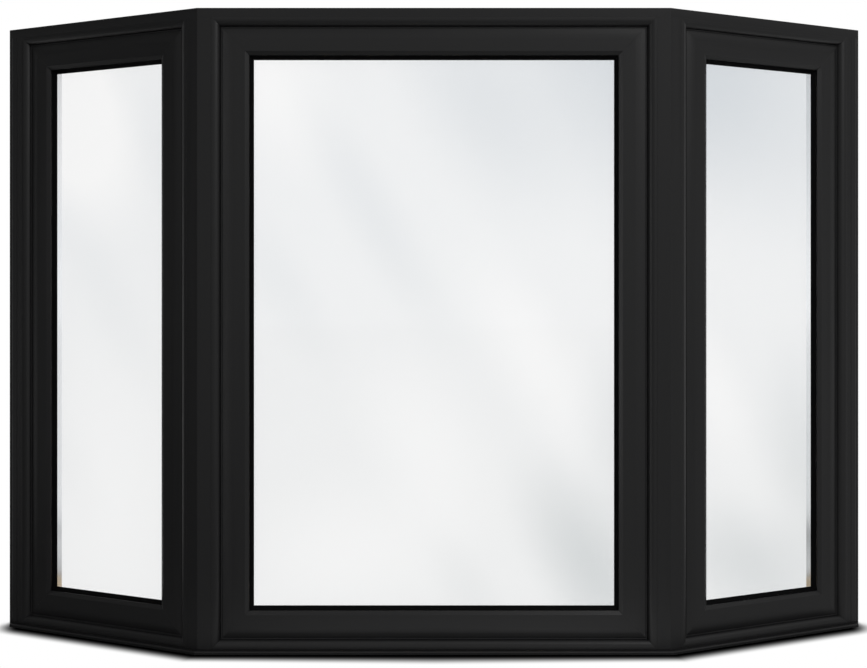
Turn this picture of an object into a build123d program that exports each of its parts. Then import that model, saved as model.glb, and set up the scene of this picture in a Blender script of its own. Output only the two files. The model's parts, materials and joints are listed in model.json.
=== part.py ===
from build123d import *
import math
import os

# A three-sided bay window: a fixed centre unit between two angled casements.
# Millimetres. X runs along the wall, the outside faces -Y, Z is up. The origin is
# on the underside, in the middle, where the outside plane of the wall cuts it.
# Left and right are as seen from outside.

# Driving sizes of the bay.
centre_length = 952  # outside face of the centre unit, fold to fold
side_length = 519  # outside face of a side unit, fold to wall plane
side_angle = 30  # turn of a side unit away from the wall, degrees
height = 1297  # underside of the seat to the top of the head cover
wall_depth = 116  # how far the boards reach in from the outside wall plane

# Boards, posts and outside covers.
board_thickness = 18
seat_rebate = 10  # let into the seat board under the frames
cover_thickness = 1.5
cover_joint = 0.2  # open joint beside an outside cover
mull_face = 28  # outside face of a corner post, each side of the fold
end_face = 33.5  # outside face between a side unit and the wall
end_joint_offset = 22  # open joint between the end cover's two strips, from its outer edge
end_joint = 1.5
end_cove_offset = 6  # shallow cove beside the outer edge of the end cover
end_cove_width = 5
end_cove_depth = 0.9
head_cover_lap = 30  # leg of the head cover that is let into the head board
nosing_reach = 15  # sill nosing in front of the frames
nosing_front = 7  # height of the nosing's front face
nosing_round = 3
nosing_end = 5  # front corner of the nosing, drawn in from the outer edge of the window
drip_groove_offset = 4  # drip groove behind the nosing's front face
drip_groove_width = 4
trim_thickness = 4  # inside trim on the corner posts
trim_lap = 10  # inside trim over each frame

# Frame bar: a runs from its outer edge towards the glass, b from the outside in.
frame_depth = 83
nose_width = 18
nose_round = 14  # ovolo from the face down past the sash face
stop_width = 38  # inside stop that the sash closes against
stop_chamfer = 3

# Sash bar.
sash_gap = 2  # between frame nose and sash, all round
sash_recess = 8  # sash face behind the frame face
sash_face = 55  # width of the bar
sash_thickness = 44
sash_crown = 22  # width of the flat arc at the outer edge of the face
crown_drop = 3  # that the arc falls at the edge
sash_round = 2  # outer edge
sash_bevel = 8  # width of the slope down to the glass
sash_bevel_drop = 5
seat_clearance = 0.3  # sash to inside stop

# Sealed glass unit and its gasket.
pane_thickness = 4
pane_spacing = 14
glass_recess = 16  # outer pane behind the sash face
glazing_lip = 4  # thickness of the gasket under the sash lip
pocket_depth = 12
edge_clearance = 3  # glass edge to the bottom of the pocket
gasket_sight = 8.5  # gasket that shows inside the sash
gasket_rise = 3.5  # above the lip's inner edge
gasket_tip = 0.8
inner_gasket = 2  # thickness of the gasket between glass and inside bead
inner_gasket_sight = 1.5  # that it shows past the bead
bead_setback = 6  # inside bead lower than the outer lip of the sash
bead_round = 5
bead_stand = 3  # proud of the back of the sash
bead_lap = 3  # over the back of the sash
spacer_edge = 2  # sealant behind the spacer
spacer_width = 11

# Fittings on the side units.
operator_length = 104
operator_height = 14
operator_front = 5  # height of the cover's front face
operator_gap = 3  # between the cover and the inside bead
operator_reach = 18  # in front of the inside face of the frame
operator_round = 3
crank_reach = 74  # hub centre to knob centre
crank_hub = 15  # diameters of the arm at its hub and at its knob
crank_tip = 8
crank_thickness = 6
crank_round = 1.5
crank_setback = 9  # arm centre in front of the cover's back
knob_diameter = 9
knob_height = 7
knob_round = 2.5
lock_plate_width = 22
lock_plate_length = 110
lock_plate_thickness = 5
lock_height = 420  # centre of the lock above the underside of its unit
lock_plate_round = 6
lock_plate_edge = 1.5  # rounded front edge of the plate
lock_side_gap = 3  # between lock plate and corner trim
lever_reach = 78  # pivot to the centre of the lever's tip
lever_boss = 17  # diameters of the lever at its pivot and at its tip
lever_tip = 10
lever_thickness = 6
lever_lift = 5  # between plate and lever
lever_round = 2

# Wall fixing: screw holes through the wall jambs.
screw_hole_diameter = 5
screw_edge = 18  # hole centre from the inside edge of the jamb
screw_end_offset = 170  # outer holes from the ends of the jamb

# Sizes that follow.
turn = math.radians(side_angle)
projection = side_length * math.sin(turn)
fold_x = centre_length / 2
half_width = fold_x + side_length * math.cos(turn)
seat_rim = board_thickness - seat_rebate
head_underside = height - board_thickness
unit_height = head_underside - seat_rim
centre_unit_width = centre_length - 2 * mull_face
side_unit_width = side_length - mull_face - end_face
jamb_inner_x = half_width - board_thickness
sash_inset = nose_width + sash_gap
sash_back = sash_recess + sash_thickness
glass_front = sash_recess + glass_recess
glass_back = glass_front + 2 * pane_thickness + pane_spacing
lip_back = glass_front - glazing_lip
pocket_floor = sash_face - pocket_depth
glass_edge = pocket_floor + edge_clearance
glass_inset = sash_inset + glass_edge
bead_front = glass_back + inner_gasket
bead_back = sash_back + bead_stand
bead_top = sash_face - bead_setback


def corner_of_faces(depth):
    """X of a fold of the bay at a depth behind the outside face."""
    return fold_x - depth * math.tan(turn / 2)


def centre_point(along, depth):
    """Plan point on the centre unit, measured from its middle."""
    return (along, depth - projection)


def side_point(along, depth):
    """Plan point on the right unit, measured from the fold towards the wall."""
    x = fold_x + along * math.cos(turn) - depth * math.sin(turn)
    y = along * math.sin(turn) + depth * math.cos(turn) - projection
    return (x, y)


def face_line(depth, end_x):
    """The bay's three faces in plan, at a depth, cut off at +/- end_x."""
    corner_x = corner_of_faces(depth)
    corner_y = depth - projection
    end_y = corner_y + (end_x - corner_x) * math.tan(turn)
    return [(-end_x, end_y), (-corner_x, corner_y), (corner_x, corner_y), (end_x, end_y)]


def prism(points, bottom, top):
    """Upright solid on a plan outline."""
    face = make_face(Polyline(*points, close=True))
    return Pos(0, 0, bottom) * extrude(face, top - bottom)


def profile_face(points):
    """Section face on the YZ plane from (a, b) pairs: a towards the glass, b inwards."""
    return make_face(Plane.YZ * Polyline(*[(a, -b) for a, b in points], close=True))


def frame_profile():
    round_start = (nose_width - nose_round, 0)
    round_end = (nose_width, -nose_round)
    stop_face = -(sash_back + seat_clearance)
    rest = Polyline(
        round_end,
        (nose_width, stop_face),
        (stop_width, stop_face),
        (stop_width, stop_chamfer - frame_depth),
        (stop_width - stop_chamfer, -frame_depth),
        (0, -frame_depth),
        (0, 0),
        round_start,
    )
    ovolo = TangentArc(round_start, round_end, tangent=(1, 0))
    return make_face(Plane.YZ * Curve([ovolo, rest]))


def sash_profile():
    front = -sash_recess
    crown_start = (sash_crown, front)
    crown_end = (0, front - crown_drop)
    crown = TangentArc(crown_start, crown_end, tangent=(-1, 0))
    rest = Polyline(
        crown_start,
        (sash_face - sash_bevel, front),
        (sash_face, front - sash_bevel_drop),
        (sash_face, -lip_back),
        (pocket_floor, -lip_back),
        (pocket_floor, -sash_back),
        (0, -sash_back),
        crown_end,
    )
    section = make_face(Curve([crown, rest]))
    outer_corner = section.vertices().sort_by_distance(crown_end)[0]
    return Plane.YZ * fillet(outer_corner, sash_round)


def gasket_profile():
    """Wedge between the outer lip of the sash and the glass."""
    return profile_face([
        (glass_edge, lip_back),
        (sash_face, lip_back),
        (sash_face, lip_back - gasket_rise),
        (sash_face + gasket_sight, glass_front - gasket_tip),
        (sash_face + gasket_sight, glass_front),
        (glass_edge, glass_front),
    ])


def inner_gasket_profile():
    return profile_face([
        (glass_edge, glass_back),
        (bead_top + inner_gasket_sight, glass_back),
        (bead_top, bead_front),
        (glass_edge, bead_front),
    ])


def bead_profile():
    """Inside bead: it stands on the pocket's floor and laps the back of the sash."""
    round_start = (bead_top, bead_round - bead_back)
    round_end = (bead_top - bead_round, -bead_back)
    rest = Polyline(
        round_end,
        (pocket_floor - bead_lap, -bead_back),
        (pocket_floor - bead_lap, -sash_back),
        (pocket_floor, -sash_back),
        (pocket_floor, -bead_front),
        (bead_top, -bead_front),
        round_start,
    )
    ovolo = TangentArc(round_start, round_end, tangent=(0, -1))
    return make_face(Plane.YZ * Curve([ovolo, rest]))


def mitred_bar(profile, length, across):
    """A bar under the middle of a frame: its ends are cut at 45 degrees."""
    bar = extrude(profile, length / 2, both=True)
    for end in (-1, 1):
        cut = Plane(origin=(end * length / 2, 0, 0), z_dir=(-end, -1, 0))
        bar = split(bar, bisect_by=cut, keep=Keep.TOP)
    return Pos(0, -across / 2, 0) * bar


def mitred_bars(profile, width, tall):
    """Bottom, right, top and left bars of one profile round a rectangle."""
    bars = []
    for quarter in range(4):
        length, across = (width, tall) if quarter % 2 == 0 else (tall, width)
        bars.append(Rot(0, 0, 90 * quarter) * mitred_bar(profile, length, across))
    return bars


def mitred_ring(profile, width, tall):
    return Part() + mitred_bars(profile, width, tall)


def flat_ring(width, tall, bar, front, back):
    ring = Rectangle(width, tall) - Rectangle(width - 2 * bar, tall - 2 * bar)
    return Pos(0, 0, -back) * extrude(ring, back - front)


def glazing(unit_width):
    """Panes, spacer, gaskets and inside bead of one unit, in the unit's own axes."""
    width = unit_width - 2 * glass_inset
    tall = unit_height - 2 * glass_inset
    pane = extrude(Rectangle(width, tall), pane_thickness)
    outer = Pos(0, 0, -glass_front - pane_thickness) * pane
    inner = Pos(0, 0, -glass_back) * pane
    spacer = flat_ring(
        width - 2 * spacer_edge,
        tall - 2 * spacer_edge,
        spacer_width,
        glass_front + pane_thickness,
        glass_back - pane_thickness,
    )
    sash_size = (unit_width - 2 * sash_inset, unit_height - 2 * sash_inset)
    gaskets = [mitred_ring(section, *sash_size) for section in (gasket_profile(), inner_gasket_profile())]
    bead = mitred_ring(bead_profile(), *sash_size)
    return [outer, inner], spacer, gaskets, bead


def tapered_arm(reach, first, last, thickness):
    """Flat arm from a round end to a smaller one, X away from the first."""
    ends = [Circle(first / 2), Pos(reach, 0, 0) * Circle(last / 2)]
    outline = make_hull([edge for end in ends for edge in end.edges()])
    return extrude(make_face(outline), thickness)


def crank_operator():
    """Casement operator on the sill stop: sloped cover, folded crank and knob."""
    back = bead_back + operator_gap
    front = frame_depth + operator_reach
    outline = Polyline(
        (0, -back),
        (0, -front),
        (operator_front, -front),
        (operator_height, -(front + back) / 2),
        (operator_height, -back),
        close=True,
    )
    cover = extrude(make_face(Plane.YZ * outline), operator_length / 2, both=True)
    cover = fillet(cover.edges().filter_by(Axis.X).group_by(Axis.Y)[-1], operator_round)
    arm = tapered_arm(crank_reach, crank_hub, crank_tip, crank_thickness)
    arm = fillet(arm.edges().group_by(Axis.Z)[-1], crank_round)
    knob = extrude(Circle(knob_diameter / 2), knob_height)
    knob = fillet(knob.edges().group_by(Axis.Z)[-1], knob_round)
    crank = Pos(-crank_reach / 2, 0, 0) * (arm + Pos(crank_reach, 0, crank_thickness) * knob)
    return cover + Pos(0, operator_height, -back - crank_setback) * Rot(-90, 0, 0) * crank


def sash_lock():
    """Locking lever on the inside face of a frame jamb, closed and pointing down."""
    plate = RectangleRounded(lock_plate_width, lock_plate_length, lock_plate_round)
    plate = extrude(plate, lock_plate_thickness)
    plate = fillet(plate.edges().group_by(Axis.Z)[-1], lock_plate_edge)
    lever = tapered_arm(lever_reach, lever_boss, lever_tip, lever_thickness)
    lever = fillet(lever.edges().group_by(Axis.Z)[-1], lever_round)
    boss = extrude(Circle(lever_boss / 2), lever_lift)
    lever = Rot(0, 0, -90) * (boss + Pos(0, 0, lever_lift) * lever)
    return plate + Pos(0, 0, lock_plate_thickness) * lever


def write(name, *pieces):
    """One node: one file under parts."""
    shape = pieces[0] if len(pieces) == 1 else Compound(children=list(pieces))
    export_step(shape, f"parts/{name}.step")


def write_pair(name, shape):
    """A piece of the right side and its mirror image on the left."""
    write(f"right_{name}", shape)
    write(f"left_{name}", mirror(shape, about=Plane.YZ))


def write_boards():
    back_corners = [(half_width, wall_depth), (-half_width, wall_depth)]
    outline = face_line(cover_thickness, half_width) + back_corners
    lap = face_line(0, half_width) + face_line(head_cover_lap, half_width)[::-1]
    let_in = prism(lap, height - cover_thickness, height)
    write("head_board", prism(outline, head_underside, height) - let_in)

    outer = face_line(cover_thickness, jamb_inner_x)
    inner = face_line(frame_depth, jamb_inner_x)
    rebate = prism(outer + inner[::-1], seat_rim, board_thickness)
    write("seat_board", prism(outline, 0, board_thickness) - rebate)


def write_wall_jamb():
    face = face_line(cover_thickness, half_width)[3]
    inner_face = face_line(cover_thickness, jamb_inner_x)[3]
    outline = [face, inner_face, (jamb_inner_x, wall_depth), (half_width, wall_depth)]
    jamb = prism(outline, board_thickness, head_underside)
    jamb_tall = head_underside - board_thickness
    middle = board_thickness + jamb_tall / 2
    reach = jamb_tall / 2 - screw_end_offset
    for step in (-1, -1 / 3, 1 / 3, 1):
        hole = Cylinder(screw_hole_diameter / 2, 3 * board_thickness, rotation=(0, 90, 0))
        jamb -= Pos(half_width, wall_depth - screw_edge, middle + step * reach) * hole
    write_pair("wall_jamb", jamb)


def write_posts():
    unit_edge = centre_length / 2 - mull_face
    corner = (corner_of_faces(cover_thickness), cover_thickness - projection)
    inner_corner = (corner_of_faces(frame_depth), frame_depth - projection)
    post = prism(
        [
            centre_point(unit_edge, cover_thickness),
            corner,
            side_point(mull_face, cover_thickness),
            side_point(mull_face, frame_depth),
            inner_corner,
            centre_point(unit_edge, frame_depth),
        ],
        seat_rim,
        head_underside,
    )
    write_pair("mull_post", post)

    cover_edge = mull_face - cover_joint
    cover = prism(
        [
            centre_point(centre_length / 2 - cover_edge, 0),
            centre_point(fold_x, 0),
            side_point(cover_edge, 0),
            side_point(cover_edge, cover_thickness),
            corner,
            centre_point(centre_length / 2 - cover_edge, cover_thickness),
        ],
        seat_rim,
        head_underside,
    )
    write_pair("mull_cover", cover)

    trim_depth = frame_depth + trim_thickness
    trim_corner = (corner_of_faces(trim_depth), trim_depth - projection)
    trim = prism(
        [
            centre_point(unit_edge - trim_lap, frame_depth),
            inner_corner,
            side_point(mull_face + trim_lap, frame_depth),
            side_point(mull_face + trim_lap, trim_depth),
            trim_corner,
            centre_point(unit_edge - trim_lap, trim_depth),
        ],
        board_thickness,
        head_underside,
    )
    write_pair("mull_trim", trim)

    unit_end = side_length - end_face
    end_post = prism(
        [
            face_line(cover_thickness, jamb_inner_x)[3],
            side_point(unit_end, cover_thickness),
            side_point(unit_end, frame_depth),
            face_line(frame_depth, jamb_inner_x)[3],
        ],
        seat_rim,
        head_underside,
    )
    write_pair("end_post", end_post)

    joint = side_length - end_joint_offset
    cove = side_length - end_cove_offset
    inner_strip = [
        side_point(unit_end + cover_joint, 0),
        side_point(joint - end_joint / 2, 0),
        side_point(joint - end_joint / 2, cover_thickness),
        side_point(unit_end + cover_joint, cover_thickness),
    ]
    outer_strip = [
        side_point(joint + end_joint / 2, 0),
        side_point(cove - end_cove_width / 2, 0),
        side_point(cove, end_cove_depth),
        side_point(cove + end_cove_width / 2, 0),
        side_point(side_length, 0),
        face_line(cover_thickness, half_width)[3],
        side_point(joint + end_joint / 2, cover_thickness),
    ]
    strips = [prism(outline, seat_rim, head_underside) for outline in (inner_strip, outer_strip)]
    write_pair("end_cover", strips[0] + strips[1])


def write_head_cover():
    front = face_line(0, half_width)
    behind = face_line(cover_thickness, half_width)
    lap = face_line(head_cover_lap, half_width)
    leg = prism(front + behind[::-1], head_underside, height)
    top = prism(front + lap[::-1], height - cover_thickness, height)
    write("head_cover", leg + top)


def write_sill_nosing():
    """Nosing along the foot of all three faces, with a drip groove beneath."""
    drip = drip_groove_offset - nosing_reach
    slope_length = math.hypot(nosing_reach, seat_rim - nosing_front)
    share = nosing_round / slope_length
    round_start = (-nosing_reach, nosing_front - nosing_round)
    round_end = (
        nosing_reach * (share - 1),
        nosing_front + (seat_rim - nosing_front) * share,
    )
    section = [
        Polyline(
            round_start,
            (-nosing_reach, 0),
            (drip, 0),
            (drip, drip_groove_width / 2),
        ),
        ThreePointArc(
            (drip, drip_groove_width / 2),
            (drip + drip_groove_width / 2, drip_groove_width),
            (drip + drip_groove_width, drip_groove_width / 2),
        ),
        Polyline(
            (drip + drip_groove_width, drip_groove_width / 2),
            (drip + drip_groove_width, 0),
            (cover_thickness, 0),
            (cover_thickness, seat_rim),
            (0, seat_rim),
            round_end,
        ),
    ]
    nose = TangentArc(round_start, round_end, tangent=(0, 1))
    section = make_face(Curve([*section, nose]))
    past_end = 40
    route = Polyline(*face_line(0, half_width + past_end))
    start = Plane(origin=route @ 0, x_dir=(math.sin(turn), math.cos(turn), 0), z_dir=route % 0)
    nosing = sweep(start * section, path=route, transition=Transition.RIGHT)
    end_x = half_width - nosing_end
    end_y = -nosing_reach / math.cos(turn)
    end_line = [(half_width, wall_depth), (half_width, 0), (end_x, end_y), (end_x, -4 * projection)]
    outline = end_line + [(-x, y) for x, y in reversed(end_line)]
    write("sill_nosing", nosing & prism(outline, 0, height))


def unit_planes():
    """Each unit's name, width and axes: x along it, y up, z outwards."""
    level = seat_rim + unit_height / 2
    side_middle = mull_face + side_unit_width / 2
    x, y = side_point(side_middle, 0)
    units = [("centre", centre_unit_width, Plane((0, -projection, level), (1, 0, 0), (0, -1, 0)))]
    for name, hand in (("left", -1), ("right", 1)):
        plane = Plane(
            origin=(hand * x, y, level),
            x_dir=(math.cos(turn), hand * math.sin(turn), 0),
            z_dir=(hand * math.sin(turn), -math.cos(turn), 0),
        )
        units.append((name, side_unit_width, plane))
    return units


def write_units():
    spacers = []
    gaskets = []
    beads = []
    frame_names = ("sill", "right_jamb", "head", "left_jamb")
    sash_names = ("bottom_rail", "right_stile", "top_rail", "left_stile")
    for name, width, plane in unit_planes():
        place = plane.location
        frame = mitred_bars(frame_profile(), width, unit_height)
        for bar_name, bar in zip(frame_names, frame):
            write(f"{name}_frame_{bar_name}", place * bar)
        sash = mitred_bars(sash_profile(), width - 2 * sash_inset, unit_height - 2 * sash_inset)
        for bar_name, bar in zip(sash_names, sash):
            write(f"{name}_sash_{bar_name}", place * bar)
        panes, spacer, unit_gaskets, bead = glazing(width)
        write(f"{name}_glass", *[place * pane for pane in panes])
        spacers.append(place * spacer)
        gaskets += [place * gasket for gasket in unit_gaskets]
        beads.append(place * bead)
    write("glazing_spacers", *spacers)
    write("glazing_gaskets", *gaskets)
    write("glazing_beads", *beads)


def write_fittings():
    for name, hand in (("left", -1), ("right", 1)):
        plane = [plane for unit, _, plane in unit_planes() if unit == name][0]
        place = plane.location
        sill_top = stop_width - unit_height / 2
        write(f"{name}_crank_operator", place * Pos(0, sill_top, 0) * crank_operator())
        lock_inset = trim_lap + lock_side_gap + lock_plate_width / 2
        lock_x = hand * (lock_inset - side_unit_width / 2)
        lock = Pos(lock_x, lock_height - unit_height / 2, -frame_depth) * Rot(0, 180, 0) * sash_lock()
        write(f"{name}_sash_lock", place * lock)


os.makedirs("parts", exist_ok=True)
write_boards()
write_wall_jamb()
write_posts()
write_head_cover()
write_sill_nosing()
write_units()
write_fittings()
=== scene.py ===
import bmesh
import bpy
import json
import math
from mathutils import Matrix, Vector


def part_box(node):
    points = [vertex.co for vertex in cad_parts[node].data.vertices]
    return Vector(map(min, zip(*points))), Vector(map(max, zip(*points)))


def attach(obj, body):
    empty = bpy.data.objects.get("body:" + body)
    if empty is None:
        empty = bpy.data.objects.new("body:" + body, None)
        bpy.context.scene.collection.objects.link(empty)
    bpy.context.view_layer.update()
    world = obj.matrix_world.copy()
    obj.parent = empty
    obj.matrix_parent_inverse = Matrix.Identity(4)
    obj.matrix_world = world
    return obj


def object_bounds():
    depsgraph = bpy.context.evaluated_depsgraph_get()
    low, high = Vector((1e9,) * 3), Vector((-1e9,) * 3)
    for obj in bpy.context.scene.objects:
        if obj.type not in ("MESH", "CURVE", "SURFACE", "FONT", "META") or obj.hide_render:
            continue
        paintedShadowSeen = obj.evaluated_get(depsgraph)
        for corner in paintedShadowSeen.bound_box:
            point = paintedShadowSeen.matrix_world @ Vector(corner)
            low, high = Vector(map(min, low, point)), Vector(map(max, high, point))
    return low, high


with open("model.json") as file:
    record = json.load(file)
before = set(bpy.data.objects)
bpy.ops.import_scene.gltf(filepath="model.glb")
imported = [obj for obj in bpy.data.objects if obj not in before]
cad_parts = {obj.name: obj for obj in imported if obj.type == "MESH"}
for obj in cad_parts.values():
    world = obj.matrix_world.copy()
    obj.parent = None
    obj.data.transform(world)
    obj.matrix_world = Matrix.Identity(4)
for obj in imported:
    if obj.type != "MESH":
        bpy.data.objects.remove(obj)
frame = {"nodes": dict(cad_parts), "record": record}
cadLow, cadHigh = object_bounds()
millimetre = 0.001
print("frame loaded:", len(frame["nodes"]), "pieces")

# the bay in plan: turn of its side units and where they leave the centre unit
bay = {
    "turn": 30.0,  # degrees
    "side": 0.519,  # outside face of a side unit
}
bayTurn = math.radians(bay["turn"])
fold = (cadHigh[0] - bay["side"] * math.cos(bayTurn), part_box("right_mull_cover")[0][1], 0)


def linearColour(hexValue):
    # sRGB hex to the linear colour that the nodes expect
    channels = [int(hexValue[i:i + 2], 16) / 255 for i in (1, 3, 5)]
    linear = [c / 12.92 if c <= 0.04045 else ((c + 0.055) / 1.055) ** 2.4 for c in channels]
    return (*linear, 1.0)


def addNode(tree, kind, inputs=None, **settings):
    # one node, its settings, and a value or a link for each input: 6 and 7 are the
    # two colours of a Mix node, and 2 and 3 its two numbers
    node = tree.nodes.new(kind)
    for name, value in settings.items():
        setattr(node, name, value)
    for name, value in (inputs or {}).items():
        if isinstance(value, bpy.types.NodeSocket):
            tree.links.new(value, node.inputs[name])
        else:
            node.inputs[name].default_value = value
    return node


def newMaterial(name):
    material = bpy.data.materials.new(name)
    material.use_nodes = True
    material.node_tree.nodes.clear()
    return material, material.node_tree


# Camera: level and square to the centre unit, a little above its middle.
cameraSetup = {
    "distance": 3.293,  # in front of the outside plane of the wall
    "height": 0.723,
    "lens": 62.68,
    "sensor": 36.0,
    "shiftRight": 0.0006,  # shares of the picture's width
    "shiftDown": 0.0467,
}


def makeCamera(setup):
    camera = bpy.data.cameras.new("viewCamera")
    camera.lens = setup["lens"]
    camera.sensor_width = setup["sensor"]
    camera.shift_x = -setup["shiftRight"]
    camera.shift_y = -setup["shiftDown"]
    viewer = bpy.data.objects.new("viewCamera", camera)
    viewer.location = (0, -setup["distance"], setup["height"])
    viewer.rotation_euler = (math.pi / 2, 0, 0)
    bpy.context.scene.collection.objects.link(viewer)
    bpy.context.scene.camera = viewer


makeCamera(cameraSetup)
print("camera placed")

# what each of X, Y and Z is to a pattern: along it or across it
uprightBar = ("across", "across", "along")
levelBar = ("along", "along", "across")
levelBoard = ("along", "across", "across")


def patternPlace(tree, axes, across, along):
    # where a pattern lies, in steps of its own size, given in millimetres
    scale = [1000 / (along if axis == "along" else across) for axis in axes]
    place = addNode(tree, "ShaderNodeTexCoord")
    return addNode(tree, "ShaderNodeMapping", {
        "Vector": place.outputs["Object"],
        "Scale": scale,
    }).outputs[0]


# Foiled PVC, extruded and wrapped in black foil: satin, with a soft gloss that
# drifts along each bar, and a fine emboss that breaks the reflection up.
foiledPvc = {
    "dark": "#0f0f10",
    "light": "#121213",
    "ior": 1.53,
    "smooth": 0.34,
    "rough": 0.43,
    "driftAcross": 9.0,  # mm, as are all sizes of these finishes
    "driftAlong": 500.0,
    "emboss": 1.1,  # coarser than the real foil so that it shows
    "embossDepth": 0.012,
    "edge": 0.8,  # how far the bar's edges are eased
}

# Powder-coated aluminium, folded: a little flatter than the foil, with a faint
# orange peel.
powderCoat = {
    "dark": "#0f0f10",
    "light": "#131314",
    "ior": 1.5,
    "smooth": 0.38,
    "rough": 0.48,
    "driftAcross": 14.0,
    "driftAlong": 700.0,
    "emboss": 1.8,  # the orange peel
    "embossDepth": 0.02,
    "edge": 0.5,
}

# Black coated die-cast zinc: smooth and slightly glossier than the bars.
coatedZinc = {
    "dark": "#0d0d0e",
    "light": "#121213",
    "ior": 1.5,
    "smooth": 0.26,
    "rough": 0.34,
    "driftAcross": 20.0,
    "driftAlong": 40.0,
    "emboss": 0.7,
    "embossDepth": 0.008,
    "edge": 0.6,
}

driftSpread = (0.3, 0.7)  # between these lie nearly all values of a noise


def makeBlackFinish(name, values, axes):
    material, tree = newMaterial(name)
    drift = addNode(tree, "ShaderNodeTexNoise", {
        "Vector": patternPlace(tree, axes, values["driftAcross"], values["driftAlong"]),
        "Scale": 1.0,
        "Detail": 3.0,
    }).outputs["Fac"]
    sheen = addNode(tree, "ShaderNodeMapRange", {
        "Value": drift,
        "From Min": driftSpread[0],
        "From Max": driftSpread[1],
        "To Min": values["smooth"],
        "To Max": values["rough"],
    })
    colour = addNode(tree, "ShaderNodeMix", {
        "Factor": drift,
        6: linearColour(values["dark"]),
        7: linearColour(values["light"]),
    }, data_type="RGBA")
    place = addNode(tree, "ShaderNodeTexCoord")
    emboss = addNode(tree, "ShaderNodeTexNoise", {
        "Vector": place.outputs["Object"],
        "Scale": 1000 / values["emboss"],
        "Detail": 1.0,
    })
    eased = addNode(tree, "ShaderNodeBevel", {
        "Radius": values["edge"] * millimetre,
    }, samples=4)
    bump = addNode(tree, "ShaderNodeBump", {
        "Strength": 1.0,
        "Distance": values["embossDepth"] * millimetre,
        "Height": emboss.outputs["Fac"],
        "Normal": eased.outputs[0],
    })
    shader = addNode(tree, "ShaderNodeBsdfPrincipled", {
        "Base Color": colour.outputs[2],
        "Roughness": sheen.outputs[0],
        "IOR": values["ior"],
        "Normal": bump.outputs[0],
    })
    addNode(tree, "ShaderNodeOutputMaterial", {"Surface": shader.outputs[0]})
    return material


# EPDM rubber, extruded: nearly black and dull, with a little bloom.
epdmRubber = {
    "dark": "#030303",
    "bloom": "#070708",
    "rough": 0.6,
    "specular": 0.06,
    "bloomAcross": 30.0,  # mm
    "bloomAlong": 120.0,
}

# Thermoplastic elastomer, extruded: a softer black with a satin skin.
sealElastomer = {
    "dark": "#1c1c1d",
    "bloom": "#242425",
    "rough": 0.45,
    "specular": 0.5,
    "bloomAcross": 20.0,
    "bloomAlong": 80.0,
}


def makeRubber(name, values):
    material, tree = newMaterial(name)
    bloom = addNode(tree, "ShaderNodeTexNoise", {
        "Vector": patternPlace(tree, uprightBar, values["bloomAcross"], values["bloomAlong"]),
        "Scale": 1.0,
        "Detail": 3.0,
    })
    colour = addNode(tree, "ShaderNodeMix", {
        "Factor": bloom.outputs["Fac"],
        6: linearColour(values["dark"]),
        7: linearColour(values["bloom"]),
    }, data_type="RGBA")
    shader = addNode(tree, "ShaderNodeBsdfPrincipled", {
        "Base Color": colour.outputs[2],
        "Roughness": values["rough"],
        "Specular IOR Level": values["specular"],
    })
    addNode(tree, "ShaderNodeOutputMaterial", {"Surface": shader.outputs[0]})
    return material


# Aluminium spacer bar, rolled and left in its mill finish: bright, with fine drawn
# lines along it that smear what it mirrors.
millAluminium = {
    "dark": "#e6e8ea",
    "light": "#f5f6f7",
    "smooth": 0.06,
    "rough": 0.14,
    "lineAcross": 0.9,  # mm, coarser than the real lines so that they show
    "lineAlong": 150.0,
    "lineDepth": 0.01,
}


def makeMillAluminium(values):
    material, tree = newMaterial("millAluminium")
    level, upright = (
        addNode(tree, "ShaderNodeTexNoise", {
            "Vector": patternPlace(tree, axes, values["lineAcross"], values["lineAlong"]),
            "Scale": 1.0,
            "Detail": 2.0,
        }).outputs["Fac"]
        for axes in (levelBar, uprightBar)
    )
    # a bar's inner face looks up or down where the bar is level
    place = addNode(tree, "ShaderNodeTexCoord")
    facing = addNode(tree, "ShaderNodeSeparateXYZ", {0: place.outputs["Normal"]})
    isLevel = addNode(tree, "ShaderNodeMath", {0: facing.outputs["Z"]}, operation="ABSOLUTE")
    lines = addNode(tree, "ShaderNodeMix", {
        "Factor": isLevel.outputs[0],
        2: upright,
        3: level,
    }).outputs[0]
    rough = addNode(tree, "ShaderNodeMapRange", {
        "Value": lines,
        "To Min": values["smooth"],
        "To Max": values["rough"],
    })
    bump = addNode(tree, "ShaderNodeBump", {
        "Distance": values["lineDepth"] * millimetre,
        "Height": lines,
    })
    colour = addNode(tree, "ShaderNodeMix", {
        "Factor": lines,
        6: linearColour(values["dark"]),
        7: linearColour(values["light"]),
    }, data_type="RGBA")
    shader = addNode(tree, "ShaderNodeBsdfPrincipled", {
        "Base Color": colour.outputs[2],
        "Metallic": 1.0,
        "Roughness": rough.outputs[0],
        "Normal": bump.outputs[0],
    })
    addNode(tree, "ShaderNodeOutputMaterial", {"Surface": shader.outputs[0]})
    return material
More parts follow.
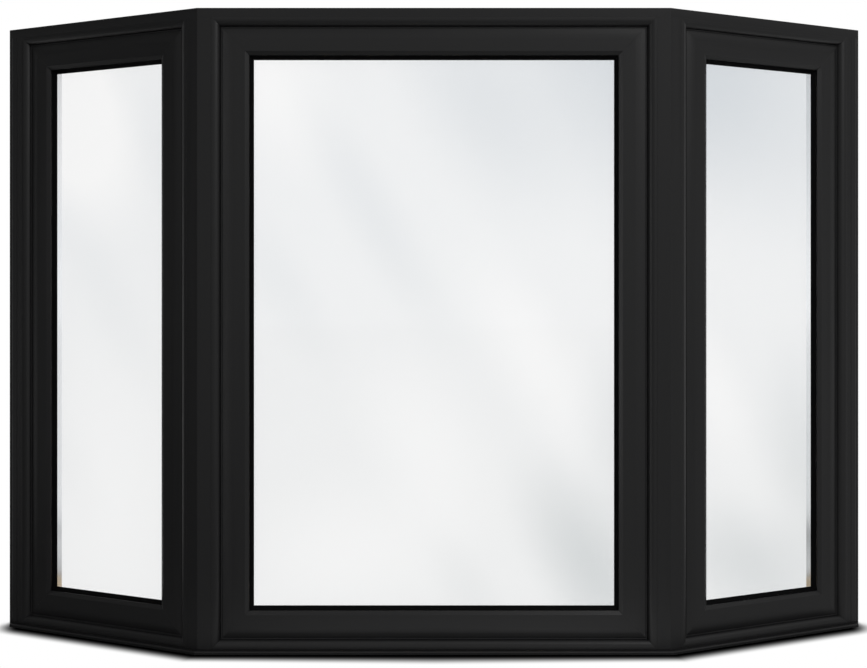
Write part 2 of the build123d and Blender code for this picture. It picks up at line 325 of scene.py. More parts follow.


# Float glass in a sealed unit: clear, with a painted reflection of a pale sky tinted into it
# in broad soft streaks that fall to the right, slate at the upper right and cloudy low down.
floatGlass = {
    "clear": "#ffffff",
    "paintedSkyHigh": "#c4cdd5",
    "paintedSkyLow": "#c7cdcf",
    "lowEnd": 0.3,  # heights between which one slate turns into the other
    "highStart": 0.9,
    "hazeShare": 0.06,
    "gloss": 0.025,
    "glossRough": 0.03,
    "base": 0.09,
    "through": 1000,  # reach through the glass, so that every pane shows the same
    # each painted reflection streak: place across and up in metres, reach along and across
    # the streak, its fall in degrees, and how much darker or paler it is
    "paintedSkyStreaks": (
        (0.36, 1.20, 0.46, 0.36, 60, 0.20),
        (0.07, 1.12, 0.38, 0.16, 60, 0.11),
        (-0.12, 0.88, 0.40, 0.09, 60, 0.07),
        (-0.31, 0.74, 0.26, 0.09, 60, 0.05),
        (-0.36, 1.17, 0.30, 0.18, 60, -0.09),
        (0.20, 0.60, 0.34, 0.12, 60, -0.07),
        (-0.02, 0.42, 0.30, 0.16, 60, -0.06),
        (-0.17, 0.20, 0.34, 0.20, -10, -0.06),
        (0.32, 0.17, 0.32, 0.14, 60, 0.26),
        (0.38, 0.42, 0.26, 0.12, 85, 0.09),
        (0.07, 0.12, 0.18, 0.08, 60, 0.05),
        (-0.82, 1.16, 0.42, 0.20, 60, -0.20),
        (-0.68, 0.30, 0.60, 0.30, 90, -0.05),
        (-0.56, 1.02, 0.20, 0.10, 75, 0.04),
        (-0.68, 0.70, 0.34, 0.10, 60, 0.04),
        (-0.80, 0.36, 0.20, 0.10, 60, 0.03),
        (0.66, 1.18, 0.46, 0.36, 60, 0.20),
        (0.58, 0.52, 0.24, 0.10, 70, -0.07),
        (0.80, 0.36, 0.34, 0.14, 80, 0.14),
        (0.67, 0.15, 0.30, 0.16, 30, 0.20),
    ),
}


def makeFloatGlass(values):
    material, tree = newMaterial("floatGlass")
    place = addNode(tree, "ShaderNodeTexCoord").outputs["Object"]
    # painted reflection: a base darkening, with each streak of painted sky added to it
    shade = values["base"]
    for across, up, along, wide, fall, depth in values["paintedSkyStreaks"]:
        local = addNode(tree, "ShaderNodeMapping", {
            "Vector": place,
            "Location": (across, 0, up),
            "Rotation": (0, math.radians(fall), 0),
            "Scale": (along, values["through"], wide),
        }, vector_type="TEXTURE")
        away = addNode(tree, "ShaderNodeVectorMath", {
            0: local.outputs[0],
        }, operation="LENGTH")
        paintedStreak = addNode(tree, "ShaderNodeMapRange", {
            "Value": away.outputs["Value"],
            "To Min": depth,
            "To Max": 0.0,
        }, interpolation_type="SMOOTHSTEP")
        shade = addNode(tree, "ShaderNodeMath", {
            0: shade,
            1: paintedStreak.outputs[0],
        }, operation="ADD").outputs[0]
    height = addNode(tree, "ShaderNodeSeparateXYZ", {0: place})
    raised = addNode(tree, "ShaderNodeMapRange", {
        "Value": height.outputs["Z"],
        "From Min": values["lowEnd"],
        "From Max": values["highStart"],
    })
    paintedSky = addNode(tree, "ShaderNodeMix", {
        "Factor": raised.outputs[0],
        6: linearColour(values["paintedSkyLow"]),
        7: linearColour(values["paintedSkyHigh"]),
    }, data_type="RGBA")
    # the tint carries the painted sky reflection, turning slate where it is darker
    tint = addNode(tree, "ShaderNodeMix", {
        "Factor": shade,
        6: linearColour(values["clear"]),
        7: paintedSky.outputs[2],
    }, data_type="RGBA")
    clear = addNode(tree, "ShaderNodeBsdfTransparent", {"Color": tint.outputs[2]})
    haze = addNode(tree, "ShaderNodeBsdfDiffuse", {"Color": tint.outputs[2]})
    hazy = addNode(tree, "ShaderNodeMixShader", {
        "Fac": values["hazeShare"],
        1: clear.outputs[0],
        2: haze.outputs[0],
    })
    gloss = addNode(tree, "ShaderNodeBsdfGlossy", {"Roughness": values["glossRough"]})
    entering = addNode(tree, "ShaderNodeMixShader", {
        "Fac": values["gloss"],
        1: hazy.outputs[0],
        2: gloss.outputs[0],
    })
    # a pane tints once, where a ray goes in
    leaving = addNode(tree, "ShaderNodeBsdfTransparent")
    side = addNode(tree, "ShaderNodeNewGeometry")
    both = addNode(tree, "ShaderNodeMixShader", {
        "Fac": side.outputs["Backfacing"],
        1: entering.outputs[0],
        2: leaving.outputs[0],
    })
    addNode(tree, "ShaderNodeOutputMaterial", {"Surface": both.outputs[0]})
    return material


# Birch plywood, rotary-cut veneers: pale and lightly figured on the faces, with
# light and dark plies on the edges.
birchPlywood = {
    "pale": "#dcc39a",
    "warm": "#c9a877",
    "plyPale": "#d6ba8c",
    "plyDark": "#8f6a42",
    "ply": 1.4,  # mm, as are the grain's, the figure's and the pores' sizes
    "plyBlur": 0.05,  # of a light and a dark ply together
    "edgeGrains": 300.0,  # a metre
    "faceShare": 0.7,  # how squarely a side faces to count as a face of the board
    "grainAcross": 7.0,
    "grainAlong": 260.0,
    "figureAcross": 90.0,
    "figureAlong": 500.0,
    "toneStart": 0.75,  # of grain and figure added up
    "toneEnd": 1.25,
    "pore": 0.8,
    "poreAlong": 25.0,
    "poreDepth": 0.03,
    "rough": 0.5,
    "coat": 0.25,
    "coatRough": 0.3,
}

# Softwood, planed: straight early and late wood along the post.
planedSoftwood = {
    "pale": "#e0c090",
    "warm": "#b98a52",
    "ringAcross": 5.0,  # mm
    "ringAlong": 900.0,
    "ringDepth": 0.04,
    "earlyEnd": 0.35,
    "lateStart": 0.7,
    "rough": 0.6,
}


def makeBirchPlywood(name, values, axes):
    material, tree = newMaterial(name)
    thickness = "X" if axes == uprightBar else "Z"
    grain = addNode(tree, "ShaderNodeTexNoise", {
        "Vector": patternPlace(tree, axes, values["grainAcross"], values["grainAlong"]),
        "Scale": 1.0,
        "Detail": 5.0,
        "Distortion": 0.4,
    })
    figure = addNode(tree, "ShaderNodeTexNoise", {
        "Vector": patternPlace(tree, axes, values["figureAcross"], values["figureAlong"]),
        "Scale": 1.0,
        "Detail": 2.0,
    })
    pores = addNode(tree, "ShaderNodeTexNoise", {
        "Vector": patternPlace(tree, axes, values["pore"], values["poreAlong"]),
        "Scale": 1.0,
        "Detail": 1.0,
    })
    both = addNode(tree, "ShaderNodeMath", {
        0: grain.outputs["Fac"],
        1: figure.outputs["Fac"],
    }, operation="ADD")
    tone = addNode(tree, "ShaderNodeMapRange", {
        "Value": both.outputs[0],
        "From Min": values["toneStart"],
        "From Max": values["toneEnd"],
    })
    veneer = addNode(tree, "ShaderNodeMix", {
        "Factor": tone.outputs[0],
        6: linearColour(values["pale"]),
        7: linearColour(values["warm"]),
    }, data_type="RGBA")
    # plies: bands through the board's thickness, seen on its edges only
    place = addNode(tree, "ShaderNodeTexCoord")
    axis = addNode(tree, "ShaderNodeSeparateXYZ", {0: place.outputs["Object"]})
    count = addNode(tree, "ShaderNodeMath", {
        0: axis.outputs[thickness],
        1: 1000 / (2 * values["ply"]),
    }, operation="MULTIPLY")
    band = addNode(tree, "ShaderNodeMath", {0: count.outputs[0]}, operation="FRACT")
    dark = addNode(tree, "ShaderNodeMapRange", {
        "Value": band.outputs[0],
        "From Min": 0.5 - values["plyBlur"],
        "From Max": 0.5 + values["plyBlur"],
    })
    edgeGrain = addNode(tree, "ShaderNodeTexNoise", {
        "Vector": place.outputs["Object"],
        "Scale": values["edgeGrains"],
        "Detail": 2.0,
    })
    plyTone = addNode(tree, "ShaderNodeMath", {
        0: dark.outputs[0],
        1: edgeGrain.outputs["Fac"],
    }, operation="MULTIPLY")
    plies = addNode(tree, "ShaderNodeMix", {
        "Factor": plyTone.outputs[0],
        6: linearColour(values["plyPale"]),
        7: linearColour(values["plyDark"]),
    }, data_type="RGBA")
    facing = addNode(tree, "ShaderNodeSeparateXYZ", {0: place.outputs["Normal"]})
    square = addNode(tree, "ShaderNodeMath", {
        0: facing.outputs[thickness],
    }, operation="ABSOLUTE")
    onFace = addNode(tree, "ShaderNodeMath", {
        0: square.outputs[0],
        1: values["faceShare"],
    }, operation="GREATER_THAN")
    colour = addNode(tree, "ShaderNodeMix", {
        "Factor": onFace.outputs[0],
        6: plies.outputs[2],
        7: veneer.outputs[2],
    }, data_type="RGBA")
    bump = addNode(tree, "ShaderNodeBump", {
        "Distance": values["poreDepth"] * millimetre,
        "Height": pores.outputs["Fac"],
    })
    shader = addNode(tree, "ShaderNodeBsdfPrincipled", {
        "Base Color": colour.outputs[2],
        "Roughness": values["rough"],
        "Coat Weight": values["coat"],
        "Coat Roughness": values["coatRough"],
        "Normal": bump.outputs[0],
    })
    addNode(tree, "ShaderNodeOutputMaterial", {"Surface": shader.outputs[0]})
    return material


def makePlanedSoftwood(values):
    material, tree = newMaterial("planedSoftwood")
    rings = addNode(tree, "ShaderNodeTexNoise", {
        "Vector": patternPlace(tree, uprightBar, values["ringAcross"], values["ringAlong"]),
        "Scale": 1.0,
        "Detail": 2.0,
        "Distortion": 0.6,
    })
    tone = addNode(tree, "ShaderNodeMapRange", {
        "Value": rings.outputs["Fac"],
        "From Min": values["earlyEnd"],
        "From Max": values["lateStart"],
    }, interpolation_type="SMOOTHSTEP")
    bump = addNode(tree, "ShaderNodeBump", {
        "Distance": values["ringDepth"] * millimetre,
        "Height": rings.outputs["Fac"],
    })
    colour = addNode(tree, "ShaderNodeMix", {
        "Factor": tone.outputs[0],
        6: linearColour(values["pale"]),
        7: linearColour(values["warm"]),
    }, data_type="RGBA")
    shader = addNode(tree, "ShaderNodeBsdfPrincipled", {
        "Base Color": colour.outputs[2],
        "Roughness": values["rough"],
        "Normal": bump.outputs[0],
    })
    addNode(tree, "ShaderNodeOutputMaterial", {"Surface": shader.outputs[0]})
    return material


# each slot's finish on level pieces and on upright ones
pvc, coated, zinc = (
    [makeBlackFinish(name + "Level", values, levelBar),
     makeBlackFinish(name + "Upright", values, uprightBar)]
    for name, values in (
        ("foiledPvcFrame", foiledPvc),
        ("powderCoat", powderCoat),
        ("coatedZinc", coatedZinc),
    )
)
finishes = {
    "frame": pvc,
    "sash": pvc,
    "cladding": coated,
    "hardware": zinc,
    "gasket": [makeRubber("epdmRubber", epdmRubber)] * 2,
    "spacer": [makeMillAluminium(millAluminium)] * 2,
    "glass": [makeFloatGlass(floatGlass)] * 2,
    "birch_plywood": [
        makeBirchPlywood("birchPlywoodLevel", birchPlywood, levelBoard),
        makeBirchPlywood("birchPlywoodUpright", birchPlywood, uprightBar),
    ],
    "softwood_post": [makePlanedSoftwood(planedSoftwood)] * 2,
}
levelEnds = (
    "_head", "_sill", "_rail", "_board", "head_cover", "sill_nosing", "_operator",
)
for part in frame["record"]["subparts"]:
    name = part["node"]
    mesh = frame["nodes"][name].data
    mesh.materials.clear()
    upright = not name.endswith(levelEnds)
    mesh.materials.append(finishes[part["material_slot"]][upright])
print("materials assigned")

sharpAngle = 35  # degrees: a new piece's edges are soft below it
upward = Vector((0, 0, 1))


def addPiece(name, points, faces, finish):
    mesh = bpy.data.meshes.new(name)
    mesh.from_pydata(points, [], faces)
    work = bmesh.new()
    work.from_mesh(mesh)
    bmesh.ops.recalc_face_normals(work, faces=work.faces)
    work.to_mesh(mesh)
    work.free()
    mesh.shade_smooth()
    mesh.set_sharp_from_angle(angle=math.radians(sharpAngle))
    mesh.materials.append(finish)
    piece = bpy.data.objects.new(name, mesh)
    bpy.context.scene.collection.objects.link(piece)
    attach(piece, "root")


def unitAxes(hand):
    # along a unit and out of its face: hand is -1 left, 0 centre and 1 right
    turn = bayTurn * hand
    along = Vector((math.cos(turn), math.sin(turn), 0))
    outward = Vector((math.sin(turn), -math.cos(turn), 0))
    return along, outward


def spanAlong(axis, *nodes):
    # the least and the most that these nodes reach along an axis
    reaches = [v.co.dot(axis) for node in nodes for v in frame["nodes"][node].data.vertices]
    return min(reaches), max(reaches)


# Sash seals: a rubber bulb all round each sash, pressed into the gap between it and
# its frame, that keeps the gap from looking like a deep black slot.
sashSeal = {
    "gap": 2.0,  # mm, between sash and frame
    "clear": 0.1,
    "below": 2.8,  # crown below the sash's face
    "crown": 0.9,  # height of the bulb's round
    "depth": 3.5,
    "steps": 8,
}


def makeSashSeal(name, hand, values, finish):
    along, outward = unitAxes(hand)
    bars = [
        name + "_sash_" + bar
        for bar in ("top_rail", "bottom_rail", "left_stile", "right_stile")
    ]
    left, right = spanAlong(along, *bars)
    low, high = spanAlong(upward, *bars)
    face = spanAlong(outward, *bars)[1] - values["below"] * millimetre
    near = values["clear"] * millimetre
    far = (values["gap"] - values["clear"]) * millimetre
    depth = values["depth"] * millimetre
    middle, half = (near + far) / 2, (far - near) / 2
    # the bulb's section: how far out from the sash and how far below its crown
    section = [(near, depth), (far, depth)]
    for step in range(values["steps"] + 1):
        angle = math.pi * step / values["steps"]
        drop = values["crown"] * millimetre * (1 - math.sin(angle))
        section.append((middle + half * math.cos(angle), drop))
    points = []
    for acrossSide, upSide in ((-1, -1), (1, -1), (1, 1), (-1, 1)):
        for out, drop in section:
            across = (left - out) if acrossSide < 0 else (right + out)
            up = (low - out) if upSide < 0 else (high + out)
            points.append(along * across + outward * (face - drop) + upward * up)
    count = len(section)
    faces = []
    for side in range(4):
        start, following = side * count, (side + 1) % 4 * count
        for i in range(count):
            j = (i + 1) % count
            faces.append((start + i, start + j, following + j, following + i))
    addPiece(name + "SashSeal", points, faces, finish)


sealFinish = makeRubber("sealElastomer", sealElastomer)
for name, hand in (("left", -1), ("centre", 0), ("right", 1)):
    makeSashSeal(name, hand, sashSeal, sealFinish)
print("sash seals fitted")

# Silicone sealant, tooled: black and softly glossy, sunk into the joints between the
# covers and frames, so that no wood shows through them.
siliconeSealant = {
    "dark": "#0b0b0c",
    "bloom": "#121213",
    "rough": 0.42,
    "specular": 0.4,
    "bloomAcross": 15.0,
    "bloomAlong": 60.0,
}
coverJoints = {
    "sunk": 0.5,  # mm, below the face
    "hollow": 0.3,  # of the tooled face
    "cover": 1.45,  # how deep the sealant goes, as thick as a cover
    "open": (10.55, 12.05),  # open joint of an end cover, from its inner edge
    "steps": 6,
}


def makeCoverSealant(name, hand, values, finish):
    # along points away from the fold on either hand
    along, outward = unitAxes(hand)
    along = along * hand
    straight, ahead = Vector((hand, 0, 0)), Vector((0, -1, 0))
    outer, inner = ("left", "right") if hand < 0 else ("right", "left")
    foldStart, foldEnd = name + "_mull_cover", name + "_end_cover"
    coverStart = spanAlong(along, foldEnd)[0]
    openStart, openEnd = (coverStart + edge * millimetre for edge in values["open"])
    # each joint: start and end along a face, that face's axis and its way out
    joints = [
        (spanAlong(straight, "centre_frame_" + name + "_jamb")[1],
         spanAlong(straight, foldStart)[0], straight, ahead),
        (spanAlong(along, foldStart)[1],
         spanAlong(along, name + "_frame_" + inner + "_jamb")[0], along, outward),
        (spanAlong(along, name + "_frame_" + outer + "_jamb")[1], coverStart, along, outward),
        (openStart, openEnd, along, outward),
    ]
    low, high = spanAlong(upward, foldEnd)
    points, faces = [], []
    for start, end, across, out in joints:
        face = spanAlong(out, foldStart)[1]
        # the strip's section: share of the joint's width and depth below the face
        section = [(0.0, values["cover"]), (1.0, values["cover"])]
        for step in range(values["steps"] + 1):
            share = 1 - step / values["steps"]
            hollow = values["hollow"] * math.sin(math.pi * share)
            section.append((share, values["sunk"] + hollow))
        first, count = len(points), len(section)
        for height in (low, high):
            for share, drop in section:
                place = across * (start + (end - start) * share) + upward * height
                points.append(place + out * (face - drop * millimetre))
        bottom, top = range(first, first + count), range(first + count, first + 2 * count)
        for i in range(count):
            j = (i + 1) % count
            faces.append((bottom[i], bottom[j], top[j], top[i]))
        faces += [tuple(reversed(bottom)), tuple(top)]
    addPiece(name + "CoverSealant", points, faces, finish)


sealantFinish = makeRubber("siliconeSealant", siliconeSealant)
for name, hand in (("left", -1), ("right", 1)):
    makeCoverSealant(name, hand, coverJoints, sealantFinish)
print("cover joints sealed")

# Blackened steel, turned: dark, with a dull metal glint.
blackenedSteel = {
    "dark": "#2c2c2e",
    "light": "#3b3b3d",
    "smooth": 0.28,
    "rough": 0.42,
    "grit": 0.5,  # mm
}

# Screws that hold the locks and the operator covers: pan heads with a square drive,
# in millimetres.
screws = {
    # radius and height of each ring
    "rings": ((3.3, 0.0), (3.3, 0.5), (2.9, 1.1), (2.2, 1.5), (1.6, 1.65)),
    "drive": 1.15,  # half the width of the square drive
    "driveTop": 1.7,
    "driveFloor": 0.5,
    "sides": 24,
    "plateThickness": 5.0,
    "fromPlateTop": 13.0,
    "fromPlateFoot": 97.0,
    "coverHeight": 14.0,
    "coverSpread": 46.0,  # each side of the cover's middle
    "coverSetback": 9.0,
}


def makeBlackenedSteel(values):
    material, tree = newMaterial("blackenedSteel")
    place = addNode(tree, "ShaderNodeTexCoord")
    grit = addNode(tree, "ShaderNodeTexNoise", {
        "Vector": place.outputs["Object"],
        "Scale": 1000 / values["grit"],
        "Detail": 2.0,
    })
    rough = addNode(tree, "ShaderNodeMapRange", {
        "Value": grit.outputs["Fac"],
        "To Min": values["smooth"],
        "To Max": values["rough"],
    })
    colour = addNode(tree, "ShaderNodeMix", {
        "Factor": grit.outputs["Fac"],
        6: linearColour(values["dark"]),
        7: linearColour(values["light"]),
    }, data_type="RGBA")
    shader = addNode(tree, "ShaderNodeBsdfPrincipled", {
        "Base Color": colour.outputs[2],
        "Metallic": 1.0,
        "Roughness": rough.outputs[0],
    })
    addNode(tree, "ShaderNodeOutputMaterial", {"Surface": shader.outputs[0]})
    return material


def screwHead(values, foot, up, side):
    # points and faces of one head that stands on foot and points along up
    count = values["sides"]
    turns = [2 * math.pi * (i + 0.5) / count for i in range(count)]
    square = [1 / max(abs(math.cos(t)), abs(math.sin(t))) for t in turns]
    rings = [([radius] * count, height) for radius, height in values["rings"]]
    drive = [values["drive"] * share for share in square]
    rings += [(drive, values["driveTop"]), (drive, values["driveFloor"])]
    other = up.cross(side)
    points = []
    for radii, height in rings:
        for turn, radius in zip(turns, radii):
            around = side * math.cos(turn) * radius + other * math.sin(turn) * radius
            points.append(foot + (around + up * height) * millimetre)
    faces = []
    for ring in range(len(rings) - 1):
        low, high = ring * count, (ring + 1) * count
        for i in range(count):
            j = (i + 1) % count
            faces.append((low + i, low + j, high + j, high + i))
    faces.append(tuple((len(rings) - 1) * count + i for i in range(count)))
    faces.append(tuple(reversed(range(count))))
    return points, faces


def addScrews(name, places, up, side, finish):
    points, faces = [], []
    for foot in places:
        headPoints, headFaces = screwHead(screws, foot, up, side)
        faces += [tuple(len(points) + i for i in face) for face in headFaces]
        points += headPoints
    addPiece(name, points, faces, finish)


def fittingPlace(node, along, outward):
    # middle along its unit, outside face, foot and top
    middle, outside = sum(spanAlong(along, node)) / 2, spanAlong(outward, node)[1]
    return middle, outside, *spanAlong(upward, node)


screwFinish = makeBlackenedSteel(blackenedSteel)
for name, hand in (("left", -1), ("right", 1)):
    along, outward = unitAxes(hand)
    middle, outside, foot, top = fittingPlace(name + "_sash_lock", along, outward)
    plateFace = outside - screws["plateThickness"] * millimetre
    addScrews(name + "LockScrews", [
        along * middle + outward * plateFace + upward * (top - screws[drop] * millimetre)
        for drop in ("fromPlateTop", "fromPlateFoot")
    ], -outward, along, screwFinish)
    middle, outside, foot, top = fittingPlace(name + "_crank_operator", along, outward)
    setBack = outside - screws["coverSetback"] * millimetre
    coverTop = foot + screws["coverHeight"] * millimetre
    spread = screws["coverSpread"] * millimetre
    addScrews(name + "OperatorScrews", [
        along * (middle + way * spread) + outward * setBack + upward * coverTop
        for way in (-1, 1)
    ], upward, along, screwFinish)
print("screws fitted")

# Studio: white all round to the eye. To gloss it is a room with a white sweep behind
# the window and walls whose level changes with the turn from straight in front.
studio = {
    # turn in degrees, to the right from straight in front, and the level there
    "walls": (
        (-180, 0.9), (-150, 0.6), (-115, 0.2),
        (-111, 1.2), (-102, 1.2),  # a bright panel at each side, for the spacer bars
        (-98, 0.16), (-90, 0.14), (-74, 0.04), (-62, 0.1), (-52, 0.44), (-40, 0.42),
        (-25, 0.42), (-8, 0.44), (8, 0.66), (30, 0.6), (60, 0.42), (78, 0.35),
        (90, 0.5), (98, 0.7), (102, 1.2), (111, 1.2), (115, 0.85), (180, 0.9),
    ),
    "wallTop": 0.5,  # share of its level that a wall keeps higher up
    "wallFade": 0.25,
    "ceilingLeft": 0.14,
    "ceilingRight": 0.36,
    "ceilingEnds": (-0.6, 0.2),  # how far left and right the two levels start
    "ceilingStart": 0.3,
    "ceilingFull": 0.7,
    "wash": 1.0,  # level that diffuse surfaces gather
}


def makeStudio(values):
    world = bpy.data.worlds.new("studio")
    world.use_nodes = True
    tree = world.node_tree
    tree.nodes.clear()
    direction = addNode(tree, "ShaderNodeTexCoord").outputs["Generated"]
    axes = addNode(tree, "ShaderNodeSeparateXYZ", {0: direction})
    front = addNode(tree, "ShaderNodeMath", {
        0: axes.outputs["Y"],
        1: -1.0,
    }, operation="MULTIPLY")
    bearing = addNode(tree, "ShaderNodeMath", {
        0: axes.outputs["X"],
        1: front.outputs[0],
    }, operation="ARCTAN2")
    share = addNode(tree, "ShaderNodeMapRange", {
        "Value": bearing.outputs[0],
        "From Min": -math.pi,
        "From Max": math.pi,
    })
    walls = addNode(tree, "ShaderNodeValToRGB", {0: share.outputs[0]})
    stops = walls.color_ramp.elements
    stops.remove(stops[-1])
    for index, (turn, level) in enumerate(values["walls"]):
        at = turn / 360 + 0.5
        stop = stops.new(at) if index else stops[0]
        stop.position = at
        stop.color = (level, level, level, 1)
    raised = addNode(tree, "ShaderNodeMapRange", {
        "Value": axes.outputs["Z"],
        "From Min": values["ceilingStart"],
        "From Max": values["ceilingFull"],
    }, interpolation_type="SMOOTHSTEP")
    kept = addNode(tree, "ShaderNodeMapRange", {
        "Value": axes.outputs["Z"],
        "From Max": values["wallFade"],
        "To Min": 1.0,
        "To Max": values["wallTop"],
    })
    wall = addNode(tree, "ShaderNodeMath", {
        0: walls.outputs[0],
        1: kept.outputs[0],
    }, operation="MULTIPLY")
    ceiling = addNode(tree, "ShaderNodeMapRange", {
        "Value": axes.outputs["X"],
        "From Min": values["ceilingEnds"][0],
        "From Max": values["ceilingEnds"][1],
        "To Min": values["ceilingLeft"],
        "To Max": values["ceilingRight"],
    })
    room = addNode(tree, "ShaderNodeMix", {
        "Factor": raised.outputs[0],
        6: wall.outputs[0],
        7: ceiling.outputs[0],
    }, data_type="RGBA")
    path = addNode(tree, "ShaderNodeLightPath")
    gathered = addNode(tree, "ShaderNodeMix", {
        "Factor": path.outputs["Is Diffuse Ray"],
        6: room.outputs[2],
        7: (*[values["wash"]] * 3, 1),
    }, data_type="RGBA")
    seen = addNode(tree, "ShaderNodeMath", {
        0: path.outputs["Is Camera Ray"],
        1: path.outputs["Is Transmission Ray"],
    }, operation="MAXIMUM")
    colour = addNode(tree, "ShaderNodeMix", {
        "Factor": seen.outputs[0],
        6: gathered.outputs[2],
        7: (1, 1, 1, 1),
    }, data_type="RGBA")
    background = addNode(tree, "ShaderNodeBackground", {"Color": colour.outputs[2]})
    addNode(tree, "ShaderNodeOutputWorld", {"Surface": background.outputs[0]})
    bpy.context.scene.world = world


makeStudio(studio)

# Floor: white to the eye, with a short painted contact shadow, worked out from the
# window's outline in plan and not cast. To gloss it is a painted pool of light in front
# of the window that fades with distance and towards the left, and a painted bright floor
# behind the window at either side, with the painted shadow in it too.
floorSetup = {
    "half": 30.0,
    # the painted contact shadow: how far it reaches, where it fades, and its falloff
    "reach": 0.084,  # of the shadow in front of the middle of the centre unit
    "reachBeside": 0.064,  # and in front of the side units
    "endStart": -0.03,  # where it starts to fade, from the ends of the window
    "endFull": 0.034,
    "cornerFade": 0.06,  # past the ends it fades towards the wall too
    "endStrip": 0.012,  # except for a strip this wide
    "reachBehind": 0.05,
    "falloff": 2.2,
    "bounce": 0.45,  # what it gives back to diffuse surfaces
    # the painted pool of light that gloss sees: its levels and where they change
    "poolNear": 0.8,  # level close in front of the centre unit
    "poolBeside": 0.35,  # and of the side units
    "besideEnds": (0.7, 1.2),  # where one turns into the other, in half centre units
    "poolFar": 0.27,
    "poolBehind": 1.0,  # and out to the sides behind it, where the spacers look
    "behindStart": 0.1,
    "slantFade": 0.5,  # how far back for each metre out to the side
    "slantEnd": 0.8,
    "poolStart": 0.11,
    "poolEnd": 0.33,
    "leftShare": 0.2,  # of the pool's level, left of the window
    "leftEnd": -1.3,
    "rightEnd": 0.5,
}


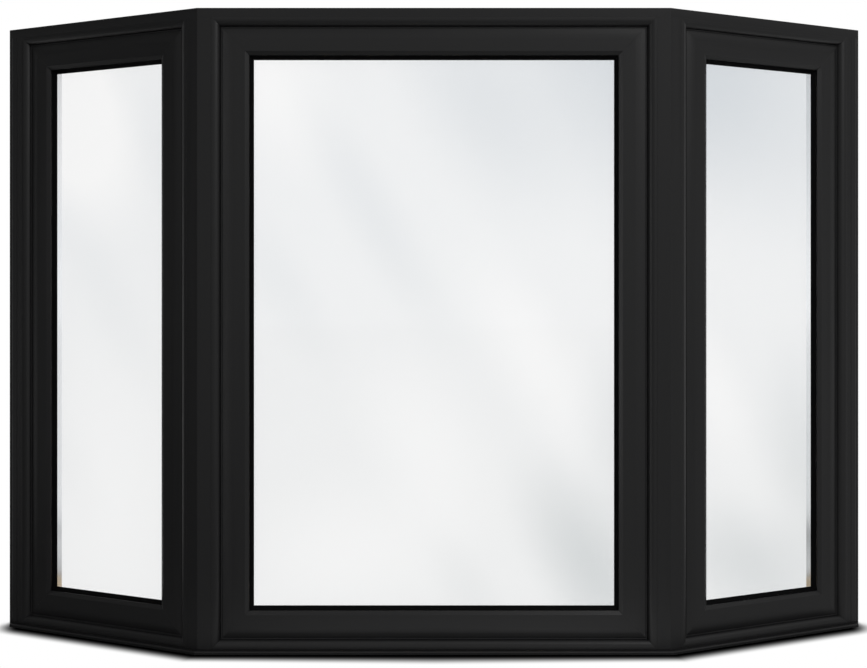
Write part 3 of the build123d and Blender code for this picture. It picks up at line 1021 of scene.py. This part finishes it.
def makeFloor(values):
    half = values["half"]
    mesh = bpy.data.meshes.new("studioFloor")
    corners = [(x * half, y * half, 0) for x, y in ((-1, -1), (1, -1), (1, 1), (-1, 1))]
    mesh.from_pydata(corners, [], [(0, 1, 2, 3)])
    floor = bpy.data.objects.new("studioFloor", mesh)
    bpy.context.scene.collection.objects.link(floor)
    material, tree = newMaterial("whiteSweepPaintedShadow")
    place = addNode(tree, "ShaderNodeTexCoord").outputs["Object"]
    axes = addNode(tree, "ShaderNodeSeparateXYZ", {0: place})
    sideways = addNode(tree, "ShaderNodeMath", {0: axes.outputs["X"]}, operation="ABSOLUTE")
    # distance in front of the nosing: the further of its centre and its turned face
    proud = fold[1] - cadLow[1]
    noseFold = (fold[0] + proud * math.tan(bayTurn / 2), cadLow[1], 0)
    noseEnd = noseFold[1] + (cadHigh[0] - noseFold[0]) * math.tan(bayTurn)
    mirrored = addNode(tree, "ShaderNodeCombineXYZ", {
        0: sideways.outputs[0],
        1: axes.outputs["Y"],
    })
    fromFold = addNode(tree, "ShaderNodeVectorMath", {
        0: mirrored.outputs[0],
        1: noseFold,
    }, operation="SUBTRACT")
    fromCentre, fromSide = (
        addNode(tree, "ShaderNodeVectorMath", {
            0: fromFold.outputs[0],
            1: unitAxes(hand)[1],
        }, operation="DOT_PRODUCT").outputs["Value"]
        for hand in (0, 1)
    )
    away = addNode(tree, "ShaderNodeMath", {
        0: fromCentre,
        1: fromSide,
    }, operation="MAXIMUM")
    reach = addNode(tree, "ShaderNodeMapRange", {
        "Value": sideways.outputs[0],
        "From Max": fold[0],
        "To Min": values["reach"],
        "To Max": values["reachBeside"],
    })
    strip = addNode(tree, "ShaderNodeMapRange", {
        "Value": sideways.outputs[0],
        "From Min": cadHigh[0],
        "From Max": cadHigh[0] + values["endStrip"],
        "To Min": 1.0,
        "To Max": 0.0,
    })
    # the painted shadow is where all of these are closed: in front, at the ends, beside the
    # ends and behind, each from its start to its end and with the least it falls to
    end, back = cadHigh[0], cadHigh[1]
    fades = (
        (away.outputs[0], 0.0, reach.outputs[0], 0.0),
        (sideways.outputs[0], end + values["endStart"], end + values["endFull"], 0.0),
        (axes.outputs["Y"], noseEnd, noseEnd + values["cornerFade"], strip.outputs[0]),
        (axes.outputs["Y"], back, back + values["reachBehind"], 0.0),
    )
    closed = 1.0
    for value, start, finish, least in fades:
        fade = addNode(tree, "ShaderNodeMapRange", {
            "Value": value,
            "From Min": start,
            "From Max": finish,
            "To Min": 1.0,
            "To Max": least,
        }, interpolation_type="SMOOTHSTEP")
        closed = addNode(tree, "ShaderNodeMath", {
            0: closed,
            1: fade.outputs[0],
        }, operation="MULTIPLY").outputs[0]
    opened = addNode(tree, "ShaderNodeMath", {
        0: 1.0,
        1: closed,
    }, operation="SUBTRACT")
    level = addNode(tree, "ShaderNodeMath", {
        0: opened.outputs[0],
        1: values["falloff"],
    }, operation="POWER")
    # the painted contact shadow, as the camera sees the floor
    paintedShadowSeen = addNode(tree, "ShaderNodeEmission", {"Color": level.outputs[0]})
    bounce = addNode(tree, "ShaderNodeBsdfDiffuse", {"Color": (*[values["bounce"]] * 3, 1)})
    near = addNode(tree, "ShaderNodeMapRange", {
        "Value": sideways.outputs[0],
        "From Min": values["besideEnds"][0] * fold[0],
        "From Max": values["besideEnds"][1] * fold[0],
        "To Min": values["poolNear"],
        "To Max": values["poolBeside"],
    })
    pool = addNode(tree, "ShaderNodeMapRange", {
        "Value": away.outputs[0],
        "From Min": values["poolStart"],
        "From Max": values["poolEnd"],
        "To Min": near.outputs[0],
        "To Max": values["poolFar"],
    }, interpolation_type="SMOOTHSTEP")
    side = addNode(tree, "ShaderNodeMapRange", {
        "Value": axes.outputs["X"],
        "From Min": values["leftEnd"],
        "From Max": values["rightEnd"],
        "To Min": values["leftShare"],
    }, interpolation_type="SMOOTHSTEP")
    frontLevel = addNode(tree, "ShaderNodeMath", {
        0: pool.outputs[0],
        1: side.outputs[0],
    }, operation="MULTIPLY")
    behind = addNode(tree, "ShaderNodeMapRange", {
        "Value": axes.outputs["Y"],
        "From Min": cadHigh[1],
        "From Max": cadHigh[1] + values["behindStart"],
        "To Min": frontLevel.outputs[0],
        "To Max": values["poolBehind"],
    })
    slant = addNode(tree, "ShaderNodeMath", {
        0: axes.outputs["Y"],
        1: sideways.outputs[0],
    }, operation="DIVIDE")
    poolLevel = addNode(tree, "ShaderNodeMapRange", {
        "Value": slant.outputs[0],
        "From Min": values["slantFade"],
        "From Max": values["slantEnd"],
        "To Min": behind.outputs[0],
        "To Max": frontLevel.outputs[0],
    })
    # painted pool of light, glowing with the painted shadow in it, as gloss sees the floor
    paintedPoolGlow = addNode(tree, "ShaderNodeEmission", {
        "Color": level.outputs[0],
        "Strength": poolLevel.outputs[0],
    })
    path = addNode(tree, "ShaderNodeLightPath")
    unseen = addNode(tree, "ShaderNodeMixShader", {
        "Fac": path.outputs["Is Glossy Ray"],
        1: bounce.outputs[0],
        2: paintedPoolGlow.outputs[0],
    })
    seen = addNode(tree, "ShaderNodeMath", {
        0: path.outputs["Is Camera Ray"],
        1: path.outputs["Is Transmission Ray"],
    }, operation="MAXIMUM")
    mixed = addNode(tree, "ShaderNodeMixShader", {
        "Fac": seen.outputs[0],
        1: unseen.outputs[0],
        2: paintedShadowSeen.outputs[0],
    })
    addNode(tree, "ShaderNodeOutputMaterial", {"Surface": mixed.outputs[0]})
    mesh.materials.append(material)


makeFloor(floorSetup)

# Soft lamps: place, aim, width and height, and power. The strip lights the slopes
# that face left, and the larger two light the outside and the inside.
lamps = {
    "keyLamp": {
        "place": (2.6, -3.2, 3.6),
        "aim": (0.2, 0, 0.6),
        "size": (2.4, 2.4),
        "power": 45,
    },
    "insideLamp": {
        "place": (-0.8, 3.4, 2.6),
        "aim": (0, 0, 0.6),
        "size": (2.4, 2.4),
        "power": 40,
    },
    "stripLamp": {
        "place": (-0.88, -1.07, 0.75),
        "aim": (0.06, -1.41, 0.75),
        "size": (0.22, 1.7),
        "power": 3.4,
    },
}


def addLamp(name, values):
    lamp = bpy.data.lights.new(name, "AREA")
    lamp.shape = "RECTANGLE"
    lamp.size, lamp.size_y = values["size"]
    lamp.energy = values["power"]
    holder = bpy.data.objects.new(name, lamp)
    holder.location = values["place"]
    toAim = Vector(values["aim"]) - Vector(values["place"])
    holder.rotation_euler = toAim.to_track_quat("-Z", "Y").to_euler()
    holder.visible_camera = False
    bpy.context.scene.collection.objects.link(holder)


for name, values in lamps.items():
    addLamp(name, values)
bpy.context.scene.view_settings.view_transform = "Standard"
print("studio ready")
